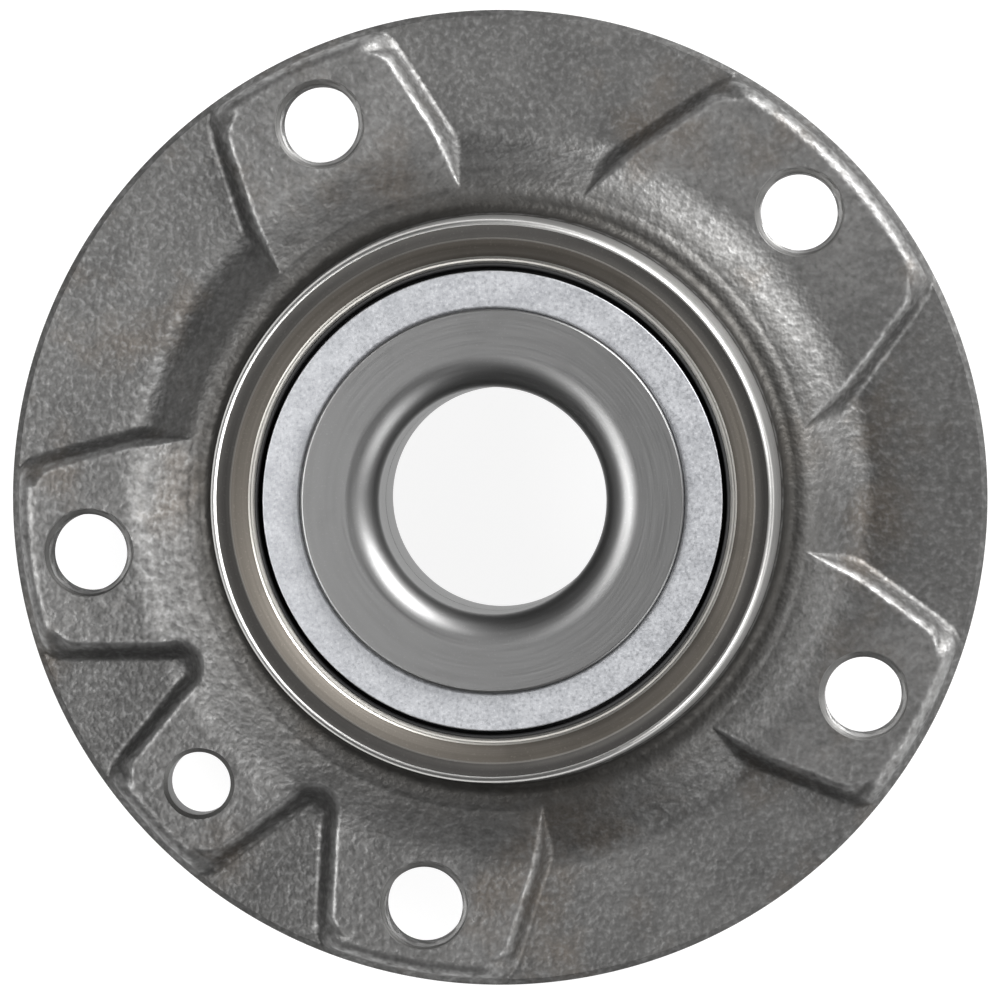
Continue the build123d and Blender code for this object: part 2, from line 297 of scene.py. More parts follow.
def inside_pad(x, y, angle, width, slant):
    """Distance inside one pad's side walls at half their height."""
    turn = math.radians(angle)
    along = x * math.cos(turn) + y * math.sin(turn)
    across = np.abs(y * math.cos(turn) - x * math.sin(turn))
    slant = math.radians(slant)
    depth = (width / 2 - (along - BOLT_CIRCLE_R) * math.tan(slant) - across) * math.cos(slant)
    return np.where(along > 0, depth, -BOLT_CIRCLE_R)


def round_end(first, second, turn):
    """Larger of two pads' depths, with a round valley end between walls that turn by this angle."""
    near, far = first + VALLEY_END_ROUND, second + VALLEY_END_ROUND
    lean = math.cos(turn)
    inside = (near > far * lean) & (far > near * lean)
    square = np.maximum(near**2 + far**2 - 2 * near * far * lean, 0)
    from_centre = np.sqrt(square) / math.sin(turn)
    return np.where(inside, from_centre - VALLEY_END_ROUND, np.maximum(first, second))


def inside_pads(x, y):
    """Distance inside the nearest pad, with the valleys between the pads ending round."""
    pads = [(BOLT_ANGLES[0], WIDE_PAD)] + [(angle, BOLT_PAD) for angle in BOLT_ANGLES[1:]]
    pads.insert(3, (LOCATOR, LOCATOR_PAD))
    depths = [inside_pad(x, y, angle, *pad) for angle, pad in pads]
    total = depths[0]
    for number, (angle, (_, slant)) in enumerate(pads):
        after = (number + 1) % len(pads)
        after_angle, (_, after_slant) = pads[after]
        turn = math.radians(180 - (after_angle - angle) % 360 - slant - after_slant)
        total = np.maximum(total, round_end(depths[number], depths[after], turn))
    return total


def forging_waves(x, y):
    """Small unevenness of the forged skin, from waves that bend one another and don't repeat."""
    waves = np.zeros_like(x)
    for number, (length, height) in enumerate(WAVES):
        turn = 0.7 + 2.1 * number
        u = (x * math.cos(turn) + y * math.sin(turn)) * 2 * math.pi / length
        v = (y * math.cos(turn) - x * math.sin(turn)) * 2 * math.pi / length
        waves += height * np.sin(u + 1.7 * np.sin(0.61 * v)) * np.cos(v + 1.3 * np.sin(0.47 * u))
    return waves


def climb(r, base, crest, foot_blend, crest_blend):
    """Height of the shoulder round the collar, climbing from a base height to its crest."""
    slope = crest - (r - CREST_R) * (crest - base) / (SHOULDER_R - CREST_R)
    return smooth_min(smooth_max(slope, base + 0 * r, foot_blend), crest + 0 * r, crest_blend)


def flange_height(r, turn):
    """Height of the flange's inboard face: pads, valleys, the shoulder and the collar's root."""
    x, y = r * np.cos(turn), r * np.sin(turn)
    # heights without pads and with nothing but pads
    web = climb(r, WEB_T, CREST_Z, *WEB_CLIMB)
    level = climb(r, PAD_TOP, CREST_Z - CREST_DROP, *PAD_CLIMB)
    rise = np.maximum(level - web, LEAST_RISE)
    wall = WEB_T + PAD_RISE / 2 + inside_pads(x, y) / math.tan(PAD_DRAFT)
    # the pads' round end at the rim, which rises out of the way further in
    from_rim = PAD_RIM_R - r
    fall = PAD_RIM_ROUND - np.clip(from_rim, 0, PAD_RIM_ROUND)
    rim = WEB_T + PAD_RISE * np.sqrt(1 - (fall / PAD_RIM_ROUND) ** 2)
    rim = np.where(from_rim > 0, rim + np.maximum(from_rim - PAD_RIM_ROUND, 0) ** 2, WEB_T)
    # pads with their corners, edges and feet blended
    side = smooth_min(wall, rim, CORNER_BLEND)
    walled = np.clip((rim - wall) / CORNER_BLEND + 0.5, LEAST_EDGE, 1)
    top = smooth_min(side, level, np.minimum(EDGE_SHARE * rise, EDGE_BLEND) * walled)
    fade = np.clip(from_rim / RIM_FADE, 0, 1)
    foot = np.minimum(FOOT_SHARE * rise, FOOT_BLEND) * np.maximum(fade, LEAST_FOOT)
    face = smooth_max(top, web, foot)
    # the collar's root
    root_r = COLLAR_R + ROOT_ROUND + (COLLAR_TOP - CREST_Z) * math.tan(COLLAR_DRAFT)
    dip = np.clip(root_r - r, 0, ROOT_ROUND * ROOT_REACH)
    root = CREST_Z + ROOT_ROUND - np.sqrt(ROOT_ROUND**2 - dip**2)
    face = np.where(r < root_r, np.maximum(face, root), face)
    return face + forging_waves(x, y) * fade


def edge_wear_and_highlight(r, turn):
    """How far each point stands above the mean of four points around it."""
    reach = 0.7
    here = flange_height(r, turn)
    around = flange_height(r + reach, turn) + flange_height(r - reach, turn)
    around += flange_height(r, turn + reach / r) + flange_height(r, turn - reach / r)
    return here - around / 4


# Hub


def hub_section():
    """Half section of the hub from the pilot's relief, inside and up to the collar's foot.

    Each point has the finish of the strip that leads on from it.
    """
    meet = math.degrees(math.acos((OUTER_SHOULDER_R - OUTER_GROOVE_R) / GROOVE_R))
    land_r = OUTER_GROOVE_R + GROOVE_R
    rings = [
        (PILOT_R - RELIEF_DEPTH, 0.0, "faced"),
        (PILOT_R - RELIEF_DEPTH, RELIEF_DEPTH - RELIEF_W, "faced"),
        (PILOT_R, -RELIEF_W, "faced"),
        (PILOT_R, PILOT_END + PILOT_LEAD, "faced"),
        (PILOT_R - PILOT_LEAD, PILOT_END, "faced"),
        (CAP_SEAT_R + CAP_LEAD, PILOT_END, "faced"),
        (CAP_SEAT_R, PILOT_END + CAP_LEAD, "faced"),
        (CAP_SEAT_R, RING_BOTTOM, "faced"),
        (REAR_BORE_R, RING_BOTTOM, "faced"),
        (REAR_BORE_R, rear_case_high.z, "faced"),
        (land_r, rear_case_high.z, "raceway"),
    ]
    grooves = arc((OUTER_GROOVE_R, REAR_ROW_Z - GROOVE_SHIFT), GROOVE_R, 0, meet, 12)
    grooves += arc((OUTER_GROOVE_R, ROW_Z + GROOVE_SHIFT), GROOVE_R, -meet, 0, 12)
    rings += [(r, z, "raceway") for r, z in grooves]
    bevel_foot = COLLAR_TOP - END_BEVEL_DEPTH
    bevel_slope = END_BEVEL_DEPTH / (END_BEVEL_R - SEAL_BORE_R)
    rings += [
        (land_r, case_low.z, "bored"),
        (SEAL_BORE_R, case_low.z, "bored"),
        # the mouth's and the bevel edge's narrow rings are painted light as highlights
        (SEAL_BORE_R, bevel_foot - MOUTH_DEPTH, "mouth"),
        (SEAL_BORE_R + MOUTH_W, bevel_foot + MOUTH_W * bevel_slope, "bevel"),
        (END_BEVEL_R - BEVEL_EDGE, COLLAR_TOP - BEVEL_EDGE * bevel_slope, "edge"),
        (END_BEVEL_R + BEVEL_EDGE, COLLAR_TOP, "turned"),
        (COLLAR_R - COLLAR_ROUND - COLLAR_ROUND_HOLD, COLLAR_TOP, "turned"),
    ]
    centre = (COLLAR_R - COLLAR_ROUND, COLLAR_TOP - COLLAR_ROUND)
    # the collar's round is painted much lighter than its end face, a painted highlight
    rings += [(r, z, "rounded") for r, z in arc(centre, COLLAR_ROUND, 90, 0, 12)]
    foot_z = CREST_Z + ROOT_ROUND
    side_steps = 14
    for step in range(1, side_steps + 1):
        z = centre[1] + (foot_z - centre[1]) * step / side_steps
        finish = "side" if step < side_steps - 1 else "forged"
        rings.append((COLLAR_R + (COLLAR_TOP - z) * math.tan(COLLAR_DRAFT), z, finish))
    return rings


def hole_cutter(angle, radius, mouth_r, materials, wall_finish, chamfer_finish):
    """Cutter for a hole through a pad, with a chamfer at both ends."""
    past = 1.0
    axis_r = 0.001
    depth = mouth_r - radius
    outline = [
        (axis_r, -past), (mouth_r + past, -past), (mouth_r, 0.0), (radius, depth),
        (radius, PAD_TOP - depth), (mouth_r, PAD_TOP), (mouth_r + past, PAD_TOP + past),
        (axis_r, PAD_TOP + past),
    ]
    mesh = turned_mesh("cutter", outline, HOLE_STEPS, on_bolt_circle(angle))
    for material in materials:
        mesh.materials.append(material)
    kinds = [chamfer_finish] * len(outline)
    kinds[3] = wall_finish
    mesh.polygons.foreach_set("material_index", np.tile(kinds, HOLE_STEPS).astype(np.int32))
    return link_object("cutter", mesh)


def cut_holes(mesh, wall_finish, chamfer_finish):
    """The mesh with the tapped holes and the locator hole cut through it."""
    holes = [(angle, BOLT_MAJOR_R, BOLT_CHAMFER_R) for angle in BOLT_ANGLES]
    holes.append((LOCATOR, LOCATOR_R, LOCATOR_CHAMFER_R))
    cutters = [hole_cutter(*hole, mesh.materials, wall_finish, chamfer_finish) for hole in holes]
    blank = link_object("blank", mesh)
    for cutter in cutters:
        modifier = blank.modifiers.new("hole", "BOOLEAN")
        modifier.object = cutter
        modifier.solver = "EXACT"
        modifier.material_mode = "INDEX"
    depsgraph = bpy.context.evaluated_depsgraph_get()
    drilled = bpy.data.meshes.new_from_object(blank.evaluated_get(depsgraph))
    for helper in [blank] + cutters:
        spare = helper.data
        bpy.data.objects.remove(helper)
        bpy.data.meshes.remove(spare)
    return drilled


def build_hub(finishes):
    """Flange, pads, collar, raceways and pilot as one turned and forged piece."""
    steps = FORGING_STEPS
    turns = np.arange(steps) * 2 * math.pi / steps
    section = hub_section()
    rings = [(r, np.full(steps, z), finish, np.zeros(steps)) for r, z, finish in section]
    near_r, foot_z, _ = section[-1]
    far_r = FLANGE_R - RIM_CHAMFER
    highest = foot_z - 0.01  # keeps the face just below the collar's foot
    face_rings = 130
    crowding = 1.15  # above 1 the rings lie closer together near the collar
    for number in range(1, face_rings):
        r = near_r + (far_r - near_r) * (number / (face_rings - 1)) ** crowding
        around = np.full(steps, r)
        height = np.minimum(flange_height(around, turns), highest)
        rings.append((r, height, "forged", edge_wear_and_highlight(around, turns)))
    for r, z, finish in (
        (FLANGE_R, WEB_T - RIM_CHAMFER, "rim"),
        (FLANGE_R, RIM_CHAMFER, "faced"),
        (FLANGE_R - RIM_CHAMFER, 0.0, "faced"),
    ):
        rings.append((r, np.full(steps, z), finish, np.zeros(steps)))
    vertices = []
    wear_and_highlight = []
    for r, heights, _, standing in rings:
        vertices += list(zip(r * np.cos(turns), r * np.sin(turns), heights))
        wear_and_highlight += list(standing)
    faces = []
    count = len(rings)
    for index in range(count):
        here = index * steps
        there = (index + 1) % count * steps
        for step in range(steps):
            after = (step + 1) % steps
            faces.append((here + step, there + step, there + after, here + after))
    mesh = mesh_from("hub_forging", vertices, faces)
    names = list(finishes)
    for material in finishes.values():
        mesh.materials.append(material)
    kinds = np.repeat([names.index(finish) for _, _, finish, _ in rings], steps)
    mesh.polygons.foreach_set("material_index", kinds.astype(np.int32))
    # how far each point stands out, which the forging paints lighter as wear and a painted highlight
    attribute = mesh.attributes.new("edge_wear_and_highlight", "FLOAT", "POINT")
    attribute.data.foreach_set("value", np.array(wear_and_highlight, dtype=np.float32))
    mesh = cut_holes(mesh, names.index("drilled"), names.index("chamfer"))
    shade(mesh)
    link_piece("hub_forging", mesh, "hub", ["hub_flange"])


def build_thread(number, angle, wall, chamfer):
    """Tapped wall of one wheel-bolt hole: a sleeve in the hub with a helical thread inside it."""
    centre_x, centre_y = on_bolt_circle(angle)
    around = THREAD_STEPS
    rows_per_pitch = 12
    end = BOLT_CHAMFER_R - BOLT_MAJOR_R
    rows = int((PAD_TOP - 2 * end) / THREAD_PITCH * rows_per_pitch)
    chamfer_rows = int((BOLT_CHAMFER_R - BOLT_CORE_R) / THREAD_PITCH * rows_per_pitch)
    root_r = BOLT_MAJOR_R - THREAD_INSET
    back_r = BOLT_MAJOR_R + SLEEVE_DEPTH
    vertices = []

    def add_vertex(radius, step, z):
        turn = 2 * math.pi * step / around
        vertices.append((centre_x + radius * math.cos(turn), centre_y + radius * math.sin(turn), z))

    for row in range(rows + 1):
        z = end + (PAD_TOP - 2 * end) * row / rows
        cone_r = BOLT_CHAMFER_R - min(z, PAD_TOP - z)
        for step in range(around):
            phase = (z / THREAD_PITCH - step / around) % 1
            crest = min(max(FLANK_PEAK - FLANK_SLOPE * abs(phase - 0.5), 0), 1)
            add_vertex(max(root_r - (root_r - BOLT_CORE_R) * crest, min(cone_r, root_r)), step, z)
    for z in (end, PAD_TOP - end):
        for step in range(around):
            add_vertex(back_r, step, z)
    faces = []
    kinds = []
    top = rows * around
    low_back = top + around
    high_back = low_back + around
    for step in range(around):
        after = (step + 1) % around
        for row in range(rows):
            here, there = row * around, (row + 1) * around
            faces.append((here + step, there + step, there + after, here + after))
            kinds.append(1 if min(row, rows - 1 - row) < chamfer_rows else 0)
        faces.append((top + step, high_back + step, high_back + after, top + after))
        faces.append((high_back + step, low_back + step, low_back + after, high_back + after))
        faces.append((low_back + step, step, after, low_back + after))
        kinds += [1, 0, 1]
    mesh = mesh_from(f"bolt_thread_{number}", vertices, faces)
    shade(mesh, 50)
    mesh.materials.append(wall)
    mesh.materials.append(chamfer)
    mesh.polygons.foreach_set("material_index", np.array(kinds, dtype=np.int32))
    link_piece(f"bolt_thread_{number}", mesh, "hub", [])


# Bearing and seals


def inner_ring_outline(row_rise, height, seat_r, seat_w, bore_end):
    """Half section of an inner ring with its middle face at height 0 and its outer face up."""
    meet = math.degrees(math.acos((INNER_GROOVE_R - INNER_SHOULDER_R) / GROOVE_R))
    clip_r = clip_high.x - CLIP_WALL
    clip_end = (clip_high.z - clip_low.z) / 2
    land_r = INNER_GROOVE_R - GROOVE_R
    seat_foot = height - seat_w
    outline = [(BORE_R + BORE_BREAK, 0.0), (clip_r - SMALL_BREAK, 0.0), (clip_r, SMALL_BREAK)]
    outline += [(clip_r, clip_end), (land_r, clip_end)]
    outline += arc((INNER_GROOVE_R, row_rise - GROOVE_SHIFT), GROOVE_R, 180, 180 - meet, 16)
    outline += [(INNER_SHOULDER_R, seat_foot), (seat_r - SMALL_BREAK, seat_foot)]
    outline += [(seat_r, seat_foot + SMALL_BREAK), (seat_r, height - RING_EDGE)]
    outline += arc((seat_r - RING_EDGE, height - RING_EDGE), RING_EDGE, 0, 90, 6)[1:]
    outline += bore_end
    outline += [(BORE_R, BORE_BREAK)]
    return outline


def build_inner_rings(steel):
    """Inner rings of both rows: the inboard one with a round bore edge, the other chamfered."""
    height = RING_TOP - RING_MIDDLE
    rounded = arc((BORE_R + BORE_ROUND, height - BORE_ROUND), BORE_ROUND, 90, 180, 24)
    outline = inner_ring_outline(ROW_Z - RING_MIDDLE, height, SEAT_R, SEAT_W, rounded)
    outline = lifted(outline, RING_MIDDLE)
    lathe("ring_inboard_ground", outline, "axle_side", "inner_ring_inboard", steel,
          RING_STEPS)
    chamfered = [(BORE_R + BORE_CHAMFER, height), (BORE_R, height - BORE_CHAMFER)]
    height = RING_MIDDLE - RING_BOTTOM
    outline = inner_ring_outline(RING_MIDDLE - REAR_ROW_Z, height, REAR_SEAT_R, REAR_SEAT_W, chamfered)
    outline = lifted(mirrored(outline, -1), RING_MIDDLE)
    lathe("ring_outboard_ground", outline, "axle_side", "inner_ring_outboard", steel,
          RING_STEPS)


def build_clip(steel):
    """Clip ring that holds the two inner rings together."""
    low, high, out = clip_low.z, clip_high.z, clip_high.x
    bend = SMALL_BREAK
    outline = [
        (out - CLIP_WALL, low), (out - bend, low), (out, low + bend),
        (out, high - bend), (out - bend, high), (out - CLIP_WALL, high),
    ]
    lathe("ring_clip_sleeve", outline, "axle_side", "inner_ring_clip", steel)


def flinger_outline(seat_r, face_r, foot, top):
    """Half section of a flinger with its flat face up: sleeve, bend and face with a rolled edge."""
    bend = 0.5
    inner_bend = 0.25
    edge = 0.16
    sleeve_r = seat_r + SHEET
    back = top - SHEET
    outline = [(seat_r, foot), (sleeve_r, foot), (sleeve_r, back - inner_bend)]
    outline += arc((sleeve_r + inner_bend, back - inner_bend), inner_bend, 180, 90, 4)[1:]
    outline += [(face_r - edge, back), (face_r, back + edge), (face_r, top - edge)]
    outline += arc((face_r - edge, top - edge), edge, 0, 90, 4)[1:]
    outline += arc((seat_r + bend, top - bend), bend, 90, 180, 8)
    return outline


def case_outline(bore_r, seat_r, foot, top):
    """Half section of a seal case: a cylinder with a flange turned in at its foot and a thin rim."""
    bend = 0.7
    rim_break = 0.06
    rim_w = 0.3
    rim_depth = 0.25
    inner_r = seat_r + SHEET + LIP_REACH
    back = foot + SHEET
    wall_r = bore_r - SHEET
    outline = [(inner_r, foot)]
    outline += arc((bore_r - bend, foot + bend), bend, -90, 0, 6)
    outline += [(bore_r, top - rim_break), (bore_r - rim_break, top), (bore_r - rim_w, top)]
    outline += [(wall_r, top - rim_depth), (wall_r, back), (inner_r, back)]
    return outline


def lip_outline(bore_r, seat_r, foot, case_top, flinger_top):
    """Half section of the rubber: skin over the case, axial lip, radial lip and the wrapped edge."""
    edge = 0.1
    skin_round = 0.15
    corner = 0.3
    wall_r = bore_r - SHEET
    skin_r = wall_r - RUBBER
    sleeve_r = seat_r + SHEET
    root_r = sleeve_r + LIP_REACH
    back = foot + SHEET
    skin = back + RUBBER
    skin_top = case_top - 0.25
    axial_r = root_r + RUBBER
    axial_end = flinger_top - SHEET - LIP_GAP
    radial_r = sleeve_r + LIP_GAP
    return [
        (wall_r, back),
        (wall_r, skin_top - edge),
        (wall_r - edge, skin_top),
        (skin_r + skin_round, skin_top),
        (skin_r, skin_top - skin_round),
        (skin_r, skin + corner),
        (skin_r - corner, skin),
        (axial_r + 0.9 * RUBBER, skin),
        (axial_r + 1.9 * RUBBER, axial_end),
        (axial_r + 1.5 * RUBBER, axial_end),
        (axial_r + 0.4 * RUBBER, skin),
        (root_r, skin),
        (radial_r + RUBBER, skin + RUBBER),
        (radial_r, skin + 0.4 * RUBBER),
        (root_r - RUBBER, foot + edge),
        (root_r - edge, foot),
        (root_r, back),
    ]


def build_seal(place, side, seat_r, bore_r, face_r, foot, case_top, face, zinc, pressed, rubber):
    """Flinger, case and rubber of one cassette seal, with heights that grow towards its face."""
    outline = mirrored(flinger_outline(seat_r, face_r, foot, face), side)
    lathe(f"flinger_{place}_plated", outline, "axle_side", f"flinger_{place}", zinc,
          RING_STEPS)
    outline = mirrored(case_outline(bore_r, seat_r, foot, case_top), side)
    lathe(f"case_{place}_pressed", outline, "hub", f"seal_case_{place}", pressed)
    outline = mirrored(lip_outline(bore_r, seat_r, foot, case_top, face), side)
    lathe(f"lip_{place}_rubber", outline, "hub", f"seal_lip_{place}", rubber,
          sharp_angle=50)


def build_seals(zinc, pressed, rubber):
    inboard = (SEAT_R, SEAL_BORE_R, flinger_high.x, case_low.z, case_high.z, flinger_high.z)
    build_seal("inboard", 1, *inboard, zinc, pressed, rubber)
    outboard = (REAR_SEAT_R, REAR_BORE_R, rear_flinger_high.x, -rear_case_high.z, -rear_case_low.z,
                -rear_flinger_low.z)
    build_seal("outboard", -1, *outboard, zinc, pressed, rubber)


# Materials


class Paint:
    """One procedural material, with short names for the nodes it is made of."""

    def __init__(self, name, metallic, roughness, specular=0.5):
        self.material = bpy.data.materials.new(name)
        self.material.use_nodes = True
        self.tree = self.material.node_tree
        self.shader = self.tree.nodes["Principled BSDF"]
        self.shader.inputs["Metallic"].default_value = metallic
        self.shader.inputs["Roughness"].default_value = roughness
        self.shader.inputs["Specular IOR Level"].default_value = specular
        self.place = self.node("ShaderNodeTexCoord").outputs["Object"]

    def node(self, kind, **settings):
        node = self.tree.nodes.new(kind)
        for key, value in settings.items():
            setattr(node, key, value)
        return node

    def put(self, value, socket):
        """Links an output to a socket, or sets the socket where the value is a plain one."""
        if isinstance(value, bpy.types.NodeSocket):
            self.tree.links.new(value, socket)
        else:
            socket.default_value = value

    def noise(self, size, detail=2.0, roughness=0.5, place=None):
        """Noise with features of about this many millimetres."""
        node = self.node("ShaderNodeTexNoise")
        node.inputs["Scale"].default_value = 1 / (size * MM)
        node.inputs["Detail"].default_value = detail
        node.inputs["Roughness"].default_value = roughness
        self.put(place or self.place, node.inputs["Vector"])
        return node.outputs["Fac"]

    def maths(self, kind, first, second):
        node = self.node("ShaderNodeMath", operation=kind)
        self.put(first, node.inputs[0])
        self.put(second, node.inputs[1])
        return node.outputs[0]

    def spread(self, value, low, high, out_low=0.0, out_high=1.0):
        """The value's range from low to high, stretched to another range and clamped."""
        node = self.node("ShaderNodeMapRange")
        self.put(value, node.inputs["Value"])
        limits = {"From Min": low, "From Max": high, "To Min": out_low, "To Max": out_high}
        for name, number in limits.items():
            node.inputs[name].default_value = number
        return node.outputs["Result"]

    def mix(self, share, first, second, kind="MIX"):
        """Mix of two colours, each an output or a tuple of red, green and blue."""
        node = self.node("ShaderNodeMix", data_type="RGBA", blend_type=kind)
        self.put(share, node.inputs[0])
        for value, socket in ((first, node.inputs[6]), (second, node.inputs[7])):
            plain = not isinstance(value, bpy.types.NodeSocket)
            self.put((*value, 1.0) if plain else value, socket)
        return node.outputs[2]

    def polar(self):
        """Vector out from the bearing axis, distance from the axis and height along it, in metres."""
        parts = self.node("ShaderNodeSeparateXYZ")
        self.put(self.place, parts.inputs[0])
        flat = self.node("ShaderNodeCombineXYZ")
        self.put(parts.outputs["X"], flat.inputs["X"])
        self.put(parts.outputs["Y"], flat.inputs["Y"])
        radius = self.node("ShaderNodeVectorMath", operation="LENGTH")
        self.put(flat.outputs[0], radius.inputs[0])
        return flat.outputs[0], radius.outputs["Value"], parts.outputs["Z"]

    def lay(self):
        """Coordinates for turning marks: fine across the tool's path and long along it."""
        flat, radius, height = self.polar()
        outward = self.node("ShaderNodeVectorMath", operation="NORMALIZE")
        self.put(flat, outward.inputs[0])
        scaled = self.node("ShaderNodeVectorMath", operation="SCALE")
        self.put(outward.outputs[0], scaled.inputs[0])
        scaled.inputs["Scale"].default_value = 0.25 * MM  # the marks change little round a turn
        around = self.node("ShaderNodeSeparateXYZ")
        self.put(scaled.outputs[0], around.inputs[0])
        climbed = self.maths("MULTIPLY", height, 0.83)  # upright walls have marks too
        across = self.maths("ADD", radius, climbed)
        result = self.node("ShaderNodeCombineXYZ")
        self.put(across, result.inputs["X"])
        self.put(around.outputs["X"], result.inputs["Y"])
        self.put(around.outputs["Y"], result.inputs["Z"])
        return result.outputs[0]

    def colour(self, value):
        self.put(value, self.shader.inputs["Base Color"])

    def rough(self, value):
        self.put(value, self.shader.inputs["Roughness"])

    def bump(self, *layers):
        """Bumps from height fields, each given with its height in millimetres."""
        normal = None
        for height, depth in layers:
            node = self.node("ShaderNodeBump")
            node.inputs["Distance"].default_value = depth * MM
            self.put(height, node.inputs["Height"])
            if normal:
                self.put(normal, node.inputs["Normal"])
            normal = node.outputs["Normal"]
        self.put(normal, self.shader.inputs["Normal"])

    def brushed(self, amount):
        """Highlights stretched across the turning marks."""
        tangent = self.node("ShaderNodeTangent", direction_type="RADIAL", axis="Z")
        self.put(tangent.outputs[0], self.shader.inputs["Tangent"])
        self.shader.inputs["Anisotropic"].default_value = amount


def forged_material():
    """Shot-blasted forging: dark grey with fine light and dark grains, lighter at its edges from wear and
    a painted highlight.
    """
    paint = Paint("forged skin", metallic=0.85, roughness=0.52)
    _, radius, height = paint.polar()
    fine = paint.noise(0.8, 1.4)
    coarse = paint.noise(1.6)
    clouds = paint.noise(9.0, 3.0, 0.55)
    rust = paint.noise(16.0, 4.0, 0.6)
    tint = paint.spread(clouds, 0.3, 0.7)
    base = paint.mix(tint, (0.091, 0.090, 0.0885), (0.126, 0.1245, 0.122))
    # pad tops painted lighter than the valleys between them: painted light
    pad_tops_painted_light = paint.spread(height, 8.6 * MM, 10.8 * MM)
    base = paint.mix(pad_tops_painted_light, base, (1.28, 1.28, 1.28), "MULTIPLY")
    rusty = paint.spread(rust, 0.54, 0.70, 0.0, 0.5)
    base = paint.mix(rusty, base, (0.122, 0.100, 0.080))
    light_grains = paint.spread(fine, 0.5, 0.74, 0.0, 0.46)
    base = paint.mix(light_grains, base, (0.25, 0.25, 0.248))
    dark_grains = paint.spread(fine, 0.46, 0.26, 0.0, 0.42)
    base = paint.mix(dark_grains, base, (0.052, 0.051, 0.050))
    # painted shade round the collar's root over some dark oxide, darkest in the root itself
    root_shade_and_oxide = paint.spread(radius, 46.0 * MM, 40.5 * MM, 0.0, 0.55)
    base = paint.mix(root_shade_and_oxide, base, (0.045, 0.042, 0.038))
    deep_root_shade_and_oxide = paint.spread(radius, 42.0 * MM, 39.2 * MM, 0.0, 0.7)
    base = paint.mix(deep_root_shade_and_oxide, base, (0.030, 0.028, 0.025))
    # edges that stand out are painted lighter: some wear, mostly a painted highlight
    wear_and_highlight = paint.node("ShaderNodeAttribute", attribute_name="edge_wear_and_highlight").outputs["Fac"]
    worn_and_highlit = paint.spread(wear_and_highlight, 0.03, 0.16, 0.0, 0.45)
    worn_and_highlit = paint.maths("MULTIPLY", worn_and_highlit, paint.spread(coarse, 0.3, 0.65))
    paint.colour(paint.mix(worn_and_highlit, base, (0.40, 0.40, 0.396)))
    paint.rough(paint.spread(coarse, 0.3, 0.7, 0.56, 0.44))
    paint.bump((coarse, 0.05), (fine, 0.065))
    return paint.material


def turned_material(name, dark, light, roughness, mark, depth, brushed=0.25):
    """Turned or ground steel: fine rings about the bearing axis, a few longer stains and pits.

    Mark is the marks' width and depth their height, both in millimetres.
    """
    paint = Paint(name, metallic=1.0, roughness=roughness)
    lay = paint.lay()
    marks = paint.noise(mark, 3.0, 0.6, lay)
    bands = paint.noise(mark * 7, 2.0, 0.5, lay)
    stains = paint.noise(7.0, 3.0, 0.6)
    pits = paint.noise(0.3)
    base = paint.mix(paint.spread(bands, 0.3, 0.7), dark, light)
    stained = paint.spread(stains, 0.55, 0.75, 0.0, 0.3)
    base = paint.mix(stained, base, tuple(0.7 * value for value in dark))
    pitted = paint.spread(pits, 0.62, 0.7, 0.0, 0.35)
    paint.colour(paint.mix(pitted, base, tuple(1.35 * value for value in light)))
    paint.rough(paint.spread(marks, 0.3, 0.7, roughness - 0.05, roughness + 0.05))
    paint.bump((marks, depth), (bands, depth * 2))
    paint.brushed(brushed)
    return paint.material


def zinc_material():
    """Zinc plate: pale, slightly blue and finely grained, with faint forming rings."""
    paint = Paint("zinc plate", metallic=0.85, roughness=0.5)
    grain = paint.noise(0.4, 2.5, 0.6)
    rings = paint.noise(0.9, place=paint.lay())
    clouds = paint.noise(5.0, 3.0, 0.55)
    tint = paint.spread(clouds, 0.35, 0.65)
    base = paint.mix(tint, (0.355, 0.362, 0.38), (0.42, 0.427, 0.445))
    dark_grains = paint.spread(grain, 0.5, 0.3, 0.0, 0.6)
    base = paint.mix(dark_grains, base, (0.25, 0.257, 0.27))
    light_grains = paint.spread(grain, 0.56, 0.7, 0.0, 0.6)
    paint.colour(paint.mix(light_grains, base, (0.54, 0.547, 0.56)))
    paint.rough(paint.spread(grain, 0.3, 0.7, 0.44, 0.6))
    paint.bump((grain, 0.02), (rings, 0.01))
    return paint.material


def rubber_material():
    """Black rubber with a faint film along the lip and grains of dust."""
    paint = Paint("seal rubber", metallic=0.0, roughness=0.55, specular=0.35)
    film = paint.noise(2.0, 3.0, 0.6, paint.lay())
    dust = paint.noise(0.25, 2.0, 0.6)
    tint = paint.spread(film, 0.3, 0.7)
    base = paint.mix(tint, (0.009, 0.009, 0.009), (0.02, 0.02, 0.021))
    dusty = paint.spread(dust, 0.62, 0.75, 0.0, 0.3)
    paint.colour(paint.mix(dusty, base, (0.07, 0.07, 0.068)))
    paint.rough(paint.spread(film, 0.3, 0.7, 0.45, 0.65))
    paint.bump((dust, 0.01))
    return paint.material


def cage_material():
    """Moulded glass-filled plastic."""
    paint = Paint("cage plastic", metallic=0.0, roughness=0.42, specular=0.45)
    clouds = paint.noise(3.0, 3.0, 0.55)
    fibres = paint.noise(0.25, 3.0, 0.7)
    tint = paint.spread(clouds, 0.35, 0.65)
    base = paint.mix(tint, (0.70, 0.65, 0.50), (0.78, 0.74, 0.60))
    paint.colour(paint.mix(paint.spread(fibres, 0.6, 0.75, 0.0, 0.4), base, (0.88, 0.85, 0.74)))
    paint.rough(paint.spread(fibres, 0.3, 0.7, 0.36, 0.5))
    paint.bump((fibres, 0.006))
    return paint.material


